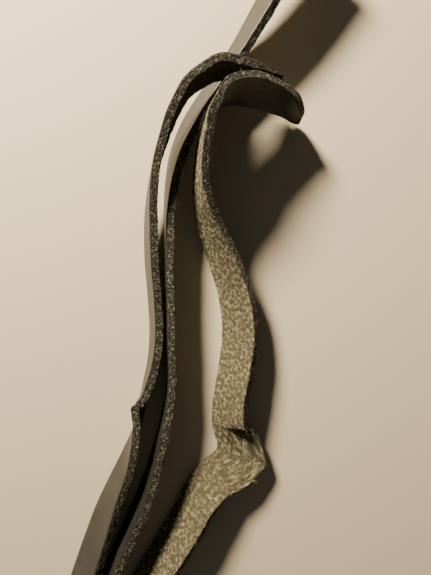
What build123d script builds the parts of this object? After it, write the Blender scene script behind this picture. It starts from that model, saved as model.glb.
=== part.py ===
from build123d import *
from math import atan2, ceil, cos, degrees, radians, sin
import os

# Loose strop: three narrow strips of vegetable-tanned leather that stand on their long edges,
# nested in one bundle. The under strip stands on the bench from end to end. The outer strip
# and the inner strip are hooked over it, one inside the other, and each has one hard crease,
# where its tail folds. Origin: middle of the bundle, on the bench. +Z up, +Y towards the hook.

# Driving dimensions (mm)
strip_width = 16.0       # height of a strip that stands on edge
leather_thickness = 3.0
crossing_gap = 0.8       # air between the under strip and the strips hooked over it
crease_gap = 0.4         # air between the two halves of a crease
section_step = 5.0       # spacing of the sections along a strip
edge_bedding = 0.25      # cut edges are worn flat where they stand
pleat_spread = 1.25      # the pleated crease is longer than the strip is wide

# Middle of the bundle's footprint, in the plan that the stations are written in
bundle_middle = Vector(-9.165, 6.04)

# How the under strip leans where the hooks cross it, and how high that makes the crossing
crossing_lean = 28.0
crossing_height = (
    strip_width * cos(radians(crossing_lean))
    + leather_thickness * sin(radians(crossing_lean))
    + crossing_gap
)

# Stations along each strip's standing edge, from the hook end to the tail end:
# x, y, lift as a share of the crossing height, lean in degrees to the left of travel
under_run = [
    (32.5, 137.5, 0.56, 33), (24.0, 123.0, 0.48, 33), (16.0, 109.0, 0.34, 32), (5.5, 92.0, 0.10, 30),
    (-4.8, 77.5, 0.0, 30), (-12.0, 66.0, 0.0, 30), (-17.0, 53.0, 0.0, 25), (-19.0, 39.0, 0.0, 17),
    (-19.2, 23.0, 0.0, 10), (-18.9, 7.0, 0.0, 8), (-18.2, -17.0, 0.0, 8), (-18.3, -39.0, 0.0, 8),
    (-20.6, -52.0, 0.0, 9), (-28.0, -76.0, 0.0, 15), (-38.0, -99.5, 0.0, 15), (-47.4, -122.0, 0.0, 15),
]
inner_hook_run = [
    (33.0, 64.5, 0.08, 8), (28.5, 66.6, 0.20, -4), (18.5, 67.0, 0.60, -14), (11.0, 67.2, 0.84, -11),
    (4.5, 67.0, 0.99, -1), (-0.6, 64.8, 1.03, 12), (-3.7, 60.0, 1.01, 14), (-5.3, 53.0, 0.88, 14),
    (-6.6, 45.0, 0.70, 14), (-7.2, 37.0, 0.54, 15), (-6.6, 29.0, 0.38, 20), (-4.5, 19.4, 0.20, 28),
    (-1.0, 7.7, 0.06, 38), (2.4, -5.0, 0.0, 46), (3.6, -17.0, 0.0, 48), (2.2, -31.0, 0.0, 46),
    (0.2, -43.0, 0.0, 46), (-0.6, -54.0, 0.0, 54),
]
inner_tail_run = [
    (-3.9, -68.0, 0.0, 66), (-10.2, -76.2, 0.0, 54), (-15.8, -87.0, 0.0, 48), (-22.6, -98.5, 0.0, 46),
    (-35.6, -120.0, 0.0, 45),
]
outer_hook_run = [
    (23.5, 73.3, 0.40, 0), (17.0, 74.9, 0.60, 1), (9.5, 75.3, 0.86, 3), (2.0, 75.6, 1.04, 5),
    (-4.9, 72.8, 1.08, 8), (-10.5, 68.9, 1.02, 9), (-15.2, 62.7, 0.84, 9), (-19.5, 54.3, 0.62, 10),
    (-23.4, 43.6, 0.46, 12), (-25.9, 30.0, 0.31, 15), (-26.6, 12.0, 0.15, 18), (-25.6, -4.0, 0.04, 18),
    (-25.0, -17.0, 0.0, 17), (-25.7, -28.0, 0.0, 14), (-27.5, -37.5, 0.0, 10),
]
outer_tail_run = [
    (-31.6, -56.0, 0.0, 10), (-36.0, -65.5, 0.0, 20), (-41.6, -76.5, 0.0, 27), (-46.4, -86.5, 0.0, 34),
    (-50.6, -97.5, 0.0, 37), (-58.2, -119.5, 0.0, 36),
]

# Creases: the station at the foot of each, and the heading of travel through it
inner_crease = (0.6, -63.8, 0.0, 80)
inner_crease_heading = -103.5
outer_crease = (-29.3, -46.5, 0.0, 6)
outer_crease_heading = -103.0


def section_plane(x, y, lift, lean, heading):
    """Plane square to the travel: X through the thickness, Y up the leaning width."""
    travel = Vector(cos(radians(heading)), sin(radians(heading)), 0)
    left = Vector(-travel.Y, travel.X, 0)
    across = left * cos(radians(lean)) - Vector(0, 0, 1) * sin(radians(lean))
    low_corner = leather_thickness / 2 * sin(radians(abs(lean)))
    foot = Vector(x, y, lift + low_corner - edge_bedding) - bundle_middle
    return Plane(origin=foot, x_dir=across, z_dir=travel)


def share_between(low, high, share):
    """Value a share of the way from low to high."""
    return low + (high - low) * share


def run_planes(run):
    """Evenly spaced section planes along the smooth curve through the feet of a run."""
    feet = [Vector(x, y, lift * crossing_height) for x, y, lift, _ in run]
    curve = Spline(*feet)  # in the plan's own frame, as the stations are
    knots = [curve.param_at_point(foot) for foot in feet]
    steps = ceil(curve.length / section_step)
    planes = []
    for step in range(steps + 1):
        at = step / steps
        span = max(i for i in range(len(run) - 1) if knots[i] <= at)
        share = (at - knots[span]) / (knots[span + 1] - knots[span])
        lean = share_between(run[span][3], run[span + 1][3], share)
        foot = curve @ at
        travel = curve % at
        heading = degrees(atan2(travel.Y, travel.X))
        planes.append(section_plane(foot.X, foot.Y, foot.Z, lean, heading))
    return planes


inner_crease_plane = section_plane(*inner_crease, inner_crease_heading)
outer_crease_plane = section_plane(*outer_crease, outer_crease_heading)

foot_align = (Align.CENTER, Align.MIN)  # a section stands on its foot
os.makedirs("parts", exist_ok=True)

# Under strip: stands on the bench, and its far end rises towards where it is held
with BuildPart() as under_strip:
    for plane in run_planes(under_run):
        with BuildSketch(plane):
            Rectangle(leather_thickness, strip_width, align=foot_align)
    loft(ruled=True)
    split(bisect_by=Plane.XY)
under_strip.part.label = "under_strip"
export_step(under_strip.part, "parts/under_strip.step")

# Inner strip, from the tip of its hook to the crease
with BuildPart() as inner_strip_hook:
    for plane in run_planes(inner_hook_run + [inner_crease])[:-1]:
        with BuildSketch(plane):
            Rectangle(leather_thickness, strip_width, align=foot_align)
    with BuildSketch(inner_crease_plane.offset(-crease_gap / 2)):
        Rectangle(leather_thickness, strip_width * pleat_spread, align=foot_align)
    loft(ruled=True)
    split(bisect_by=Plane.XY)
inner_strip_hook.part.label = "inner_strip_hook"
export_step(inner_strip_hook.part, "parts/inner_strip_hook.step")

# Inner strip, from the crease to the end of its tail
with BuildPart() as inner_strip_tail:
    with BuildSketch(inner_crease_plane.offset(crease_gap / 2)):
        Rectangle(leather_thickness, strip_width * pleat_spread, align=foot_align)
    for plane in run_planes([inner_crease] + inner_tail_run)[1:]:
        with BuildSketch(plane):
            Rectangle(leather_thickness, strip_width, align=foot_align)
    loft(ruled=True)
    split(bisect_by=Plane.XY)
inner_strip_tail.part.label = "inner_strip_tail"
export_step(inner_strip_tail.part, "parts/inner_strip_tail.step")

# Outer strip, from its end on the inner strip's back, round the hook, to its crease
with BuildPart() as outer_strip_hook:
    for plane in run_planes(outer_hook_run + [outer_crease])[:-1]:
        with BuildSketch(plane):
            Rectangle(leather_thickness, strip_width, align=foot_align)
    with BuildSketch(outer_crease_plane.offset(-crease_gap / 2)):
        Rectangle(leather_thickness, strip_width, align=foot_align)
    loft(ruled=True)
    split(bisect_by=Plane.XY)
outer_strip_hook.part.label = "outer_strip_hook"
export_step(outer_strip_hook.part, "parts/outer_strip_hook.step")

# Outer strip, from the crease to the end of its tail
with BuildPart() as outer_strip_tail:
    with BuildSketch(outer_crease_plane.offset(crease_gap / 2)):
        Rectangle(leather_thickness, strip_width, align=foot_align)
    for plane in run_planes([outer_crease] + outer_tail_run)[1:]:
        with BuildSketch(plane):
            Rectangle(leather_thickness, strip_width, align=foot_align)
    loft(ruled=True)
    split(bisect_by=Plane.XY)
outer_strip_tail.part.label = "outer_strip_tail"
export_step(outer_strip_tail.part, "parts/outer_strip_tail.step")

# Crease hinges: each runs along the crease line, on the face that the tail folds towards
for name, plane in (("inner", inner_crease_plane), ("outer", outer_crease_plane)):
    pivot = plane.origin - plane.x_dir * leather_thickness / 2
    print(name, "crease pivot", pivot, "axis", plane.y_dir * -1)
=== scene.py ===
import bpy
import numpy as np
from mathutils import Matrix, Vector


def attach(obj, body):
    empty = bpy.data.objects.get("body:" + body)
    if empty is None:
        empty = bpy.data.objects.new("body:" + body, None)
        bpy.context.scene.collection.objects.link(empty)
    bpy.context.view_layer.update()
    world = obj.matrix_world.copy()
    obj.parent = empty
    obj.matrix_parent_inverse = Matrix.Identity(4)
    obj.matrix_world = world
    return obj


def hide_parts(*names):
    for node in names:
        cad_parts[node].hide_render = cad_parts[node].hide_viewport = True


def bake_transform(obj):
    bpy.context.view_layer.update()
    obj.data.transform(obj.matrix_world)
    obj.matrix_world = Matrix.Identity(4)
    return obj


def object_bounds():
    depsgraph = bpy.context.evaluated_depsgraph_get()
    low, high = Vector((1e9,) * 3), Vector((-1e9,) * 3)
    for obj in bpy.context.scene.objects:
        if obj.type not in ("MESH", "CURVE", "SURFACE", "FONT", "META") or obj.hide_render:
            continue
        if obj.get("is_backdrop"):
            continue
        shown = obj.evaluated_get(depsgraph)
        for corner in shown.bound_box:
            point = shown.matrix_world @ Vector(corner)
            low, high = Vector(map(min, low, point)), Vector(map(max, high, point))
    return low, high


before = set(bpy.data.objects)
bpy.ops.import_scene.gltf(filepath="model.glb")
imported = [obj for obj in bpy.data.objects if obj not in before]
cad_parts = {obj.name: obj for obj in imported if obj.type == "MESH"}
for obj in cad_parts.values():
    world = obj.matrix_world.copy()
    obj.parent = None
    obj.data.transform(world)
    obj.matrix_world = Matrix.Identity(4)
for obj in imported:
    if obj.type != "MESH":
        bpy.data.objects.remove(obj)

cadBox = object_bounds()
mm = 0.001

# the leather and how it was cut
leather = {
    "width": 16.0,            # mm, height of a strip standing on edge
    "thickness": 3.0,         # mm
    "crossingHeight": 16.33,  # mm, how high the hooks ride over the under strip
    "edgeBedding": 0.25,      # mm worn off the standing edge
    "pleatSpread": 1.25,      # the pleated crease is longer than the strip is wide
    "step": 0.55,             # mm between rows of the surface
    "grainRound": 0.55,       # mm radius of the rubbed corner on the grain side
    "fleshRound": 0.15,       # mm radius of the raw corner on the flesh side
    "edgeRough": 0.17,        # mm of granular relief on a cut edge
    "fleshRough": 0.16,       # mm of fibrous relief on the flesh side
    "hairs": 110,             # loose fibres on each strip's raw top corner
    "hairRadius": 0.055,      # mm
    "hairLength": (0.5, 1.9),  # mm
    "hairCurl": 0.45,         # sideways drift as a share of its length
}

# Stations along the standing edge: x, y in mm, lift as a share of the crossing height,
# lean in degrees to the left of travel, as the CAD strips have them
underStrip = {
    "name": "underStripLeather", "grainLeft": False, "seed": 11,
    "stations": [
        (32.5, 137.5, 0.56, 33), (24.0, 123.0, 0.48, 33), (16.0, 109.0, 0.34, 32), (5.5, 92.0, 0.10, 30),
        (-4.8, 77.5, 0.0, 30), (-12.0, 66.0, 0.0, 30), (-17.0, 53.0, 0.0, 25), (-19.0, 39.0, 0.0, 17),
        (-19.2, 23.0, 0.0, 10), (-18.9, 7.0, 0.0, 8), (-18.2, -17.0, 0.0, 8), (-18.3, -39.0, 0.0, 8),
        (-20.6, -52.0, 0.0, 9), (-28.0, -76.0, 0.0, 15), (-38.0, -99.5, 0.0, 15), (-47.4, -122.0, 0.0, 15),
    ],
}
innerStrip = {
    "name": "innerStripLeather", "grainLeft": True, "seed": 23,
    "stations": [
        (33.0, 64.5, 0.08, 8), (28.5, 66.6, 0.20, -4), (18.5, 67.0, 0.60, -14), (11.0, 67.2, 0.84, -11),
        (4.5, 67.0, 0.99, -1), (-0.6, 64.8, 1.03, 12), (-3.7, 60.0, 1.01, 14), (-5.3, 53.0, 0.88, 14),
        (-6.6, 45.0, 0.70, 14), (-7.2, 37.0, 0.54, 15), (-6.6, 29.0, 0.38, 20), (-4.5, 19.4, 0.20, 28),
        (-1.0, 7.7, 0.06, 38), (2.4, -5.0, 0.0, 46), (3.6, -17.0, 0.0, 48), (2.2, -31.0, 0.0, 46),
        (0.2, -43.0, 0.0, 46), (-0.6, -54.0, 0.0, 54),
        (0.6, -63.8, 0.0, 80),
        (-3.9, -68.0, 0.0, 66), (-10.2, -76.2, 0.0, 54), (-15.8, -87.0, 0.0, 48), (-22.6, -98.5, 0.0, 46),
        (-35.6, -120.0, 0.0, 45),
    ],
    "tipRound": 5.5,      # mm radius of the rounded end
    "creaseStation": 18, "creaseShare": 0.73, "creaseHeading": -103.5, "creaseReach": 7.0, "spread": True,
}
outerStrip = {
    "name": "outerStripLeather", "grainLeft": False, "seed": 37,
    "stations": [
        (23.5, 73.3, 0.40, 0), (17.0, 74.9, 0.60, 1), (9.5, 75.3, 0.86, 3), (2.0, 75.6, 1.04, 5),
        (-4.9, 72.8, 1.08, 8), (-10.5, 68.9, 1.02, 9), (-15.2, 62.7, 0.84, 9), (-19.5, 54.3, 0.62, 10),
        (-23.4, 43.6, 0.46, 12), (-25.9, 30.0, 0.31, 15), (-26.6, 12.0, 0.15, 18), (-25.6, -4.0, 0.04, 18),
        (-25.0, -17.0, 0.0, 17), (-25.7, -28.0, 0.0, 14), (-27.5, -37.5, 0.0, 10),
        (-29.3, -46.5, 0.0, 6),
        (-31.6, -56.0, 0.0, 10), (-36.0, -65.5, 0.0, 20), (-41.6, -76.5, 0.0, 27), (-46.4, -86.5, 0.0, 34),
        (-50.6, -97.5, 0.0, 37), (-58.2, -119.5, 0.0, 36),
    ],
    "creaseStation": 15, "creaseShare": 0.66, "creaseHeading": -103.0, "creaseReach": 5.0, "spread": False,
    "skive": 13.0,      # mm over which the end is pared thin against the inner strip
    "pinch": (1.9, 3.4),  # mm the crumpled fold stands out, mm along the strip
}
bundleMiddle = np.array([-9.165, 6.04, 0.0])  # mm, where the frame's origin is in the stations' plan


# smooth curves and noise, as whole arrays
def smoothRun(rows, step):
    # cubic Hermite through the rows: each tangent is the slope between the two neighbours
    rows = np.asarray(rows, float)
    knots = np.concatenate([[0], np.cumsum(np.linalg.norm(np.diff(rows[:, :2], axis=0), axis=1))])
    slopes = np.gradient(rows, knots, axis=0)
    at = np.linspace(0, knots[-1], int(np.ceil(knots[-1] / step)) + 1)
    span = np.clip(np.searchsorted(knots, at, side="right") - 1, 0, len(knots) - 2)
    gap = (knots[span + 1] - knots[span])[:, None]
    t = (at - knots[span])[:, None] / gap
    a, b = rows[span], rows[span + 1]
    return at, knots, ((2 * t**3 - 3 * t**2 + 1) * a + (t**3 - 2 * t**2 + t) * gap * slopes[span]
                       + (3 * t**2 - 2 * t**3) * b + (t**3 - t**2) * gap * slopes[span + 1])


def valueNoise(x, y, seed):
    # random heights on a unit lattice, blended with a smooth step in x and in y
    table = np.random.default_rng(seed).random((256, 256)) * 2 - 1
    x0, y0 = np.floor(x).astype(int), np.floor(y).astype(int)
    fx, fy = x - x0, y - y0
    fx, fy = fx * fx * (3 - 2 * fx), fy * fy * (3 - 2 * fy)
    corner = lambda i, j: table[(x0 + i) % 256, (y0 + j) % 256]
    low = corner(0, 0) * (1 - fx) + corner(1, 0) * fx
    high = corner(0, 1) * (1 - fx) + corner(1, 1) * fx
    return low * (1 - fy) + high * fy


def smoothStep(x):
    x = np.clip(x, 0, 1)
    return x * x * (3 - 2 * x)


# the cross-section of a strip
def stripProfile():
    # closed loop round a strip: up the grain side, over the top edge, down the flesh side, under the foot
    # columns: depth from the grain side, height up the width, then grain, flesh and edge shares
    width, thick = leather["width"], leather["thickness"]
    gr, fr = leather["grainRound"], leather["fleshRound"]
    face = np.linspace(0, 1, 27)
    edge = np.linspace(0, 1, 8)
    bend = np.radians(np.linspace(0, 90, 5))[1:-1]
    grainUp = np.column_stack([face * 0, gr + face * (width - 2 * gr)])
    topGrain = np.column_stack([gr - gr * np.cos(bend), width - gr + gr * np.sin(bend)])
    top = np.column_stack([gr + edge * (thick - gr - fr), edge * 0 + width])
    topFlesh = np.column_stack([thick - fr + fr * np.sin(bend), width - fr + fr * np.cos(bend)])
    fleshDown = np.column_stack([face * 0 + thick, width - fr - face * (width - 2 * fr)])
    footFlesh = np.column_stack([thick - fr + fr * np.cos(bend), fr - fr * np.sin(bend)])
    foot = np.column_stack([thick - fr - edge * (thick - gr - fr), edge * 0])
    footGrain = np.column_stack([gr - gr * np.sin(bend), gr - gr * np.cos(bend)])
    parts = [(grainUp, 0), (topGrain, 0), (top, 2), (topFlesh, 2), (fleshDown, 1), (footFlesh, 2),
             (foot, 2), (footGrain, 0)]
    points = np.vstack([p for p, _ in parts])
    zones = np.vstack([np.tile(np.eye(3)[z], (len(p), 1)) for p, z in parts])
    return points, zones


# a strip as one surface
def stripSurface(strip):
    # rows of the profile carried along the foot's curve, each row leaned, turned and pleated at its crease
    at, knots, run = smoothRun(strip["stations"], leather["step"])
    travel = np.gradient(run[:, :2], at, axis=0)
    heading = np.unwrap(np.arctan2(travel[:, 1], travel[:, 0]))
    lean = np.radians(run[:, 3])
    spread = np.ones(len(at))
    if "creaseStation" in strip:
        reach = strip["creaseReach"]
        near = smoothStep(1 - np.abs(at - knots[strip["creaseStation"]]) / reach)
        atCrease = heading[np.argmax(near)]
        turn = np.radians(strip["creaseHeading"]) - atCrease
        heading = heading + ((turn + np.pi) % (2 * np.pi) - np.pi + atCrease - heading) * near
        if strip["spread"]:
            spread = 1 + (leather["pleatSpread"] - 1) * near
    points, zones = stripProfile()
    depth, height = points[:, 0], points[:, 1]
    thick, width = leather["thickness"], leather["width"]
    s = strip["seed"]
    a, h = np.meshgrid(at, height, indexing="ij")
    d = np.broadcast_to(depth, a.shape)
    flesh, edge = (np.broadcast_to(zones[:, i], a.shape) for i in (1, 2))
    # granular relief on the cut edges, fibrous relief along the flesh side
    grit = valueNoise(a / 0.9, d / 0.7, s) * 0.6 + valueNoise(a / 0.45, d / 0.4, s + 1) * 0.4
    fibre = valueNoise(a / 2.2 + h * 0.3, h / 0.5, s + 2) * 0.6 + valueNoise(a / 0.8, h / 0.35, s + 3) * 0.4
    rag = valueNoise(a / 1.3, h * 0 + 3, s + 4) * 0.6 + valueNoise(a / 0.5, h * 0 + 9, s + 5) * 0.4
    if "tipRound" in strip:
        # the end's corners follow a quarter circle: height shrinks about the middle of the width
        r = strip["tipRound"]
        cornerCut = r - np.sqrt(np.maximum(r * r - np.maximum(r - a, 0) ** 2, 0))
        h = width / 2 + (h - width / 2) * (1 - cornerCut / (width / 2))
    if "skive" in strip:
        # pared about the middle of the thickness, which keeps it clear of its neighbour
        kept = 0.25 + 0.75 * smoothStep(a / strip["skive"])
        d = thick / 2 + (d - thick / 2) * kept
    nearEdge = smoothStep(1 - np.minimum(h, width - h) / 0.8)
    outward = np.where(h > width / 2, 1.0, -1.0)
    raisedHeight = h + outward * edge * grit * leather["edgeRough"]
    raisedDepth = d + flesh * fibre * leather["fleshRough"] + (d > thick * 0.8) * nearEdge * rag * 0.22
    # slow waviness of the whole strip, so that no edge runs like a wire
    wave = valueNoise(a / 17, h * 0, s + 6) * 0.22 + valueNoise(a / 7, h / 9, s + 7) * 0.12
    side = -1.0 if strip["grainLeft"] else 1.0
    offset = side * (raisedDepth - thick / 2) + wave * np.minimum(1, h / 5)
    if "pinch" in strip:
        # a crumpled ridge at the crease, tallest at the top edge
        tall, reachAlong = strip["pinch"]
        crease = knots[strip["creaseStation"]]
        crumple = 1 + 0.35 * valueNoise(a / 0.9, h / 2.5, s + 8)
        # bell curve along the strip, its middle slanting with height
        bell = np.exp(-((a - crease + 0.12 * h) / reachAlong) ** 2)
        offset = offset - tall * crumple * bell * smoothStep(h / width)
    sinL, cosL = np.sin(lean)[:, None], np.cos(lean)[:, None]
    left = np.column_stack([-np.sin(heading), np.cos(heading), heading * 0])[:, None, :]
    upVector = np.array([0, 0, 1.0])
    across = left * cosL[..., None] - upVector * sinL[..., None]
    upright = left * sinL[..., None] + upVector * cosL[..., None]
    lift = run[:, 2] * leather["crossingHeight"] + thick / 2 * np.sin(np.abs(lean)) - leather["edgeBedding"]
    feet = np.column_stack([run[:, 0], run[:, 1], lift])[:, None, :] - bundleMiddle
    place = feet + across * offset[..., None] + upright * (raisedHeight * spread[:, None])[..., None]
    place[..., 2] = np.maximum(place[..., 2], 0.0)
    coords = np.stack([a, h, d], axis=-1)
    return place * mm, coords, np.broadcast_to(zones, a.shape + (3,))


def strayFibres(strip, place, coords):
    # thin tapering hairs pulled out of the raw top corner, closest together at the crease
    draw = np.random.default_rng(strip["seed"] + 40)
    rows = place.shape[0]
    spread = draw.uniform(8, rows - 8, leather["hairs"])
    if "creaseStation" in strip:
        creaseRow = rows * strip["creaseShare"]
        spread[: leather["hairs"] // 3] = creaseRow + draw.normal(0, 4, leather["hairs"] // 3)
    row = spread.astype(int)
    corner = int(np.argmax(coords[0, :, 1] + coords[0, :, 2]))
    outward = place[row, corner] - place[row].mean(axis=1)
    outward /= np.linalg.norm(outward, axis=1, keepdims=True)
    aim = outward * 0.45 + draw.normal(0, 0.6, outward.shape)
    aim[:, 2] = np.abs(aim[:, 2]) * 0.4
    aim /= np.linalg.norm(aim, axis=1, keepdims=True)
    curl = draw.normal(0, leather["hairCurl"], aim.shape)
    length = draw.uniform(*leather["hairLength"], (len(row), 1)) * mm
    side = np.cross(aim, [0.3, 0.2, 1.0])
    side /= np.linalg.norm(side, axis=1, keepdims=True)
    other = np.cross(aim, side)
    root = place[row, corner] - outward * 0.15 * mm
    # centre line = root + aim * length * t + curl * length * t^2, with a three-sided tapering tube round it
    rings = []
    for t in (0.0, 0.35, 0.7, 1.0):
        centre = root + aim * length * t + curl * length * t * t
        radius = leather["hairRadius"] * mm * (1 - 0.75 * t)
        rings.append(np.stack([centre + radius * (side * np.cos(q) + other * np.sin(q))
                               for q in (0, 2.094, 4.189)], axis=1))
    hairs = np.stack(rings, axis=1)
    hairs[..., 2] = np.maximum(hairs[..., 2], 0.0)
    return hairs, coords[row, corner]


def gridMesh(name, place, coords, zones, flip, hairs, hairCoords):
    # quads between neighbouring rows of the closed profile, with a flat cap on each end
    rows, ring = place.shape[:2]
    index = np.arange(rows * ring).reshape(rows, ring)
    nextRing = np.roll(index, -1, axis=1)
    quads = np.stack([index[:-1], nextRing[:-1], nextRing[1:], index[1:]], axis=-1).reshape(-1, 4)
    if flip:
        quads = quads[:, ::-1]
    faces = quads.tolist()
    first, last = index[0].tolist(), index[-1].tolist()
    faces += [first if flip else first[::-1], last[::-1] if flip else last]
    # each hair: 4 rings of 3, walled and capped
    base = rows * ring
    for k in range(len(hairs)):
        at = base + 12 * k
        for level in (0, 3, 6):
            low, high = at + level, at + level + 3
            faces += [(low + i, low + (i + 1) % 3, high + (i + 1) % 3, high + i) for i in range(3)]
        faces += [(at + 2, at + 1, at), (at + 9, at + 10, at + 11)]
    mesh = bpy.data.meshes.new(name)
    mesh.from_pydata(np.vstack([place.reshape(-1, 3), hairs.reshape(-1, 3)]), [], faces)
    hairZone = np.tile([0.0, 1.0, 0.0], (len(hairs) * 12, 1))
    coords = np.vstack([coords.reshape(-1, 3), np.repeat(hairCoords, 12, axis=0)])
    zones = np.vstack([zones.reshape(-1, 3), hairZone])
    for label, values in (("stripCoord", coords), ("stripZone", zones)):
        layer = mesh.attributes.new(label, "FLOAT_VECTOR", "POINT")
        layer.data.foreach_set("vector", np.ascontiguousarray(values, dtype=float).ravel())
    mesh.polygons.foreach_set("use_smooth", [True] * len(mesh.polygons))
    mesh.update()
    piece = bpy.data.objects.new(name, mesh)
    bpy.context.scene.collection.objects.link(piece)
    return piece


# materials
def srgb(code):
    # sRGB hex to linear
    values = [int(code[i:i + 2], 16) / 255 for i in (1, 3, 5)]
    return tuple(v / 12.92 if v <= 0.04045 else ((v + 0.055) / 1.055) ** 2.4 for v in values) + (1.0,)


def addNode(tree, kind, settings=None, links=None):
    node = tree.nodes.new(kind)
    for key, value in (settings or {}).items():
        if isinstance(key, str) and hasattr(node, key):
            setattr(node, key, value)
        else:
            node.inputs[key].default_value = value
    for key, source in (links or {}).items():
        tree.links.new(source, node.inputs[key])
    return node


def mathNode(tree, operation, values, links):
    return addNode(tree, "ShaderNodeMath", {"operation": operation, **values}, links)


def rangeNode(tree, source, before, after):
    # clamped map of one range of values onto another
    limits = {1: before[0], 2: before[1], 3: after[0], 4: after[1]}
    return addNode(tree, "ShaderNodeMapRange", limits, {0: source})


def setRamp(node, stops):
    ramp = node.color_ramp
    while len(ramp.elements) < len(stops):
        ramp.elements.new(0.5)
    for element, (position, code) in zip(ramp.elements, stops):
        element.position = position
        element.color = srgb(code)


stropLeather = {
    "grainBlack": "#22211e", "grainWorn": "#3b3935",
    "poreSize": 0.55,      # mm between the pores of the grain side
    # the second, darker fibre colour is painted shade for the outer strip's flesh side
    "fibreCream": "#f7eac0", "paintedShadeFibre": "#6e6850",
    "paleFlesh": [(0.34, "#16140c"), (0.45, "#3d3824"), (0.56, "#696245"), (0.70, "#928a68")],
    # a darker copy of the flesh colours: painted shade for the outer strip's flesh side, which lies in shade
    "paintedShadeFlesh": [(0.34, "#0b0a08"), (0.45, "#1a1812"), (0.56, "#2b281e"), (0.70, "#45402f")],
    # scales per mm, offsets and line width of the layers of curled fibres on the flesh side
    "fibreLayers": [((1.5, 3.4, 2.2), (0, 0, 0), 0.04), ((2.4, 2.6, 2.2), (31, 7, 3), 0.04),
                    ((3.4, 4.2, 3.0), (11, 53, 5), 0.045)],
    "gritSize": 0.45,      # mm between the grains of a cut edge
}


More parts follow.
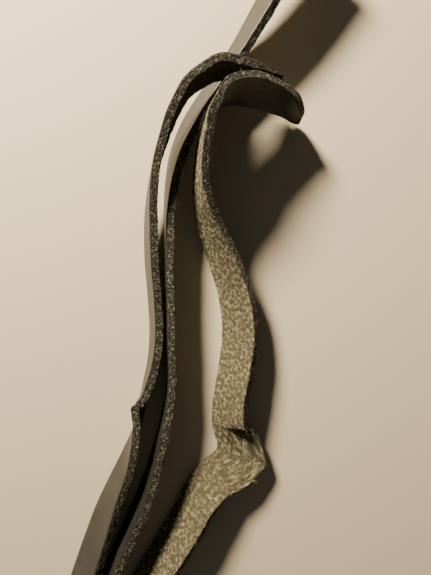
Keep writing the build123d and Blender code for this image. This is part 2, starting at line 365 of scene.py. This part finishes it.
def vegTannedStropLeather(name, flesh, fibreColour):
    # drum-dyed veg-tanned leather: rubbed black grain side, fibrous flesh side, granular cut edges; the
    # darker flesh colours passed in for one copy are painted shade
    material = bpy.data.materials.new(name)
    material.use_nodes = True
    tree = material.node_tree
    tree.nodes.clear()
    out = addNode(tree, "ShaderNodeOutputMaterial")
    shader = addNode(tree, "ShaderNodeBsdfPrincipled", {"IOR": 1.5})
    tree.links.new(shader.outputs[0], out.inputs["Surface"])
    coord = addNode(tree, "ShaderNodeAttribute", {"attribute_name": "stripCoord"}).outputs["Vector"]
    zone = addNode(tree, "ShaderNodeAttribute", {"attribute_name": "stripZone"}).outputs["Vector"]
    zones = addNode(tree, "ShaderNodeSeparateXYZ", None, {0: zone})
    pores = stropLeather["poreSize"]
    # flesh side: curled pale fibres, each the thin line where a distorted noise passes its middle value
    fleshBase = addNode(tree, "ShaderNodeTexNoise", {"Scale": 2.4, "Detail": 6.0, "Roughness": 0.75},
                        {"Vector": coord})
    fleshColour = addNode(tree, "ShaderNodeValToRGB", None, {0: fleshBase.outputs[0]})
    setRamp(fleshColour, stropLeather[flesh])
    fibreLines = None
    for scale, shift, width in stropLeather["fibreLayers"]:
        layerMap = addNode(tree, "ShaderNodeMapping", {"Location": shift, "Scale": scale}, {"Vector": coord})
        layer = addNode(tree, "ShaderNodeTexNoise", {"Scale": 1.0, "Detail": 1.0, "Distortion": 1.1},
                        {"Vector": layerMap.outputs[0]})
        offMiddle = mathNode(tree, "SUBTRACT", {1: 0.5}, {0: layer.outputs[0]})
        distance = mathNode(tree, "ABSOLUTE", {}, {0: offMiddle.outputs[0]})
        line = rangeNode(tree, distance.outputs[0], (width * 0.4, width), (1.0, 0.0))
        if fibreLines is None:
            fibreLines = line
        else:
            fibreLines = mathNode(tree, "MAXIMUM", {}, {0: fibreLines.outputs[0], 1: line.outputs[0]})
    breakUp = addNode(tree, "ShaderNodeTexNoise", {"Scale": 0.7, "Detail": 2.0}, {"Vector": coord})
    broken = rangeNode(tree, breakUp.outputs[0], (0.46, 0.62), (0.0, 1.0))
    fibres = mathNode(tree, "MULTIPLY", {}, {0: fibreLines.outputs[0], 1: broken.outputs[0]})
    fleshFinal = addNode(tree, "ShaderNodeMix", {"data_type": "RGBA", 7: srgb(fibreColour)},
                         {0: fibres.outputs[0], 6: fleshColour.outputs[0]})
    fleece = mathNode(tree, "ADD", {}, {0: fibres.outputs[0], 1: fleshBase.outputs[0]})
    fleeceHalf = mathNode(tree, "MULTIPLY", {1: 0.5}, {0: fleece.outputs[0]})
    # cut edge: grains of pressed fibre
    gritScale = (1 / stropLeather["gritSize"],) * 3
    gritMap = addNode(tree, "ShaderNodeMapping", {"Scale": gritScale}, {"Vector": coord})
    grit = addNode(tree, "ShaderNodeTexNoise", {"Scale": 0.8, "Detail": 3.0, "Roughness": 0.7},
                   {"Vector": gritMap.outputs[0]})
    edgeColour = addNode(tree, "ShaderNodeValToRGB", None, {0: grit.outputs[0]})
    setRamp(edgeColour, [(0.41, "#100f0a"), (0.50, "#36332a"), (0.58, "#605c4b"), (0.68, "#aba690")])
    # grain side: near black, a little greyer where rubbed
    rub = addNode(tree, "ShaderNodeTexNoise", {"Scale": 0.12, "Detail": 4.0, "Roughness": 0.6},
                  {"Vector": coord})
    grainColour = addNode(tree, "ShaderNodeValToRGB", None, {0: rub.outputs[0]})
    setRamp(grainColour, [(0.25, stropLeather["grainBlack"]), (0.85, stropLeather["grainWorn"])])
    poreMap = addNode(tree, "ShaderNodeMapping", {"Scale": (1 / pores,) * 3}, {"Vector": coord})
    poreCells = addNode(tree, "ShaderNodeTexVoronoi", {"feature": "DISTANCE_TO_EDGE", "Scale": 1.0},
                        {"Vector": poreMap.outputs[0]})
    poreShape = rangeNode(tree, poreCells.outputs[0], (0.0, 0.25), (0.0, 1.0))
    wrinkles = addNode(tree, "ShaderNodeTexNoise", {"Scale": 0.9, "Detail": 3.0}, {"Vector": coord})
    # each zone's ragged border
    border = mathNode(tree, "MULTIPLY_ADD", {1: 1.1, 2: -0.55}, {0: grit.outputs[0]})
    fleshEdge = mathNode(tree, "ADD", {}, {0: zones.outputs[1], 1: border.outputs[0]})
    fleshShare = rangeNode(tree, fleshEdge.outputs[0], (0.35, 0.6), (0.0, 1.0))
    cutEdge = mathNode(tree, "ADD", {}, {0: zones.outputs[2], 1: border.outputs[0]})
    cutShare = rangeNode(tree, cutEdge.outputs[0], (0.35, 0.6), (0.0, 1.0))
    grainCut = addNode(tree, "ShaderNodeMix", {"data_type": "RGBA"},
                       {0: cutShare.outputs[0], 6: grainColour.outputs[0], 7: edgeColour.outputs[0]})
    colour = addNode(tree, "ShaderNodeMix", {"data_type": "RGBA"},
                     {0: fleshShare.outputs[0], 6: grainCut.outputs[2], 7: fleshFinal.outputs[2]})
    tree.links.new(colour.outputs[2], shader.inputs["Base Color"])
    rawShare = mathNode(tree, "MAXIMUM", {}, {0: fleshShare.outputs[0], 1: cutShare.outputs[0]})
    rough = rangeNode(tree, rawShare.outputs[0], (0.0, 1.0), (0.44, 0.92))
    tree.links.new(rough.outputs[0], shader.inputs["Roughness"])
    # relief: pores and fine wrinkles on the grain, fibres on the flesh, grit on the edges
    grainRelief = mathNode(tree, "MULTIPLY_ADD", {1: 0.35}, {0: poreShape.outputs[0], 2: wrinkles.outputs[0]})
    rawRelief = addNode(tree, "ShaderNodeMix", {"data_type": "FLOAT"},
                        {0: fleshShare.outputs[0], 2: grit.outputs[0], 3: fleeceHalf.outputs[0]})
    grainSmall = mathNode(tree, "MULTIPLY", {1: 0.12}, {0: grainRelief.outputs[0]})
    rawTall = mathNode(tree, "MULTIPLY", {1: 1.6}, {0: rawRelief.outputs[0]})
    relief = addNode(tree, "ShaderNodeMix", {"data_type": "FLOAT"},
                     {0: rawShare.outputs[0], 2: grainSmall.outputs[0], 3: rawTall.outputs[0]})
    bump = addNode(tree, "ShaderNodeBump", {"Strength": 0.9, "Distance": 0.0005},
                   {"Height": relief.outputs[0]})
    tree.links.new(bump.outputs[0], shader.inputs["Normal"])
    return material


# making the strips
paleLeather = vegTannedStropLeather("vegTannedStropLeather", "paleFlesh", stropLeather["fibreCream"])
# the second copy has darker flesh and fibres: painted shade on the outer strip's flesh side
darkLeather = vegTannedStropLeather("vegTannedPaintedShadeFleshLeather", "paintedShadeFlesh", stropLeather["paintedShadeFibre"])
bodyOf = {
    "underStripLeather": ["under_strip"],
    "outerStripLeather": ["outer_strip_hook", "outer_strip_tail"],
    "innerStripLeather": ["inner_strip_hook", "inner_strip_tail"],
}

for strip in (underStrip, outerStrip, innerStrip):
    place, coords, zones = stripSurface(strip)
    hairs, hairCoords = strayFibres(strip, place, coords)
    piece = gridMesh(strip["name"], place, coords, zones, strip["grainLeft"], hairs, hairCoords)
    # the outer strip takes the copy with painted shade on its flesh side
    piece.data.materials.append(darkLeather if strip is outerStrip else paleLeather)
    name = strip["name"]
    bodies = bodyOf[name]
    if len(bodies) == 1:
        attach(piece, bodies[0])
    else:
        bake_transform(piece)
    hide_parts(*bodies)

# floor, lights and camera
stage = {
    "paper": "#e1d4b8",
    "lampPlace": (-215.0, 370.0, 265.0),  # mm from the middle of the view, a desk lamp beyond the upper left
    "lampSize": 0.11, "lampPower": 8.6, "lampColour": "#ffeed4",
    "fill": 0.065, "fillColour": "#e9e4dc",
    "eyeHeight": 0.166,
}
viewMiddle = -bundleMiddle * mm

floorMesh = bpy.data.meshes.new("benchPaper")
floorMesh.from_pydata([(-3, -3, 0), (3, -3, 0), (3, 3, 0), (-3, 3, 0)], [], [(0, 1, 2, 3)])
floor = bpy.data.objects.new("benchPaper", floorMesh)
bpy.context.scene.collection.objects.link(floor)
paper = bpy.data.materials.new("uncoatedPaper")
paper.use_nodes = True
paperShader = paper.node_tree.nodes["Principled BSDF"]
paperShader.inputs["Base Color"].default_value = srgb(stage["paper"])
paperShader.inputs["Roughness"].default_value = 0.85
floor.data.materials.append(paper)
floor.location.z = -0.0001
floor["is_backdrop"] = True

lampData = bpy.data.lights.new("deskLamp", "AREA")
lampData.shape = "DISK"
lampData.size = stage["lampSize"]
lampData.energy = stage["lampPower"]
lampData.color = srgb(stage["lampColour"])[:3]
lamp = bpy.data.objects.new("deskLamp", lampData)
bpy.context.scene.collection.objects.link(lamp)
lamp.location = viewMiddle + np.array(stage["lampPlace"]) * mm
lamp.rotation_euler = (Vector((0.01, 0, 0)) - lamp.location).to_track_quat("-Z", "Y").to_euler()

world = bpy.data.worlds.new("softRoom")
bpy.context.scene.world = world
world.use_nodes = True
background = world.node_tree.nodes["Background"]
background.inputs[0].default_value = srgb(stage["fillColour"])
background.inputs[1].default_value = stage["fill"]

cameraData = bpy.data.cameras.new("overhead")
cameraData.sensor_fit = "VERTICAL"
cameraData.sensor_height = 36.0
cameraData.lens = 36.0 * 415 / 575
cameraData.clip_start = 0.01
camera = bpy.data.objects.new("overhead", cameraData)
bpy.context.scene.collection.objects.link(camera)
camera.location = (viewMiddle[0], viewMiddle[1], stage["eyeHeight"])
bpy.context.scene.camera = camera

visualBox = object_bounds()
boxes = {"cad": [list(map(float, corner)) for corner in cadBox],
         "visual": [list(map(float, corner)) for corner in visualBox]}
print("strips, floor, lights and camera are in place")
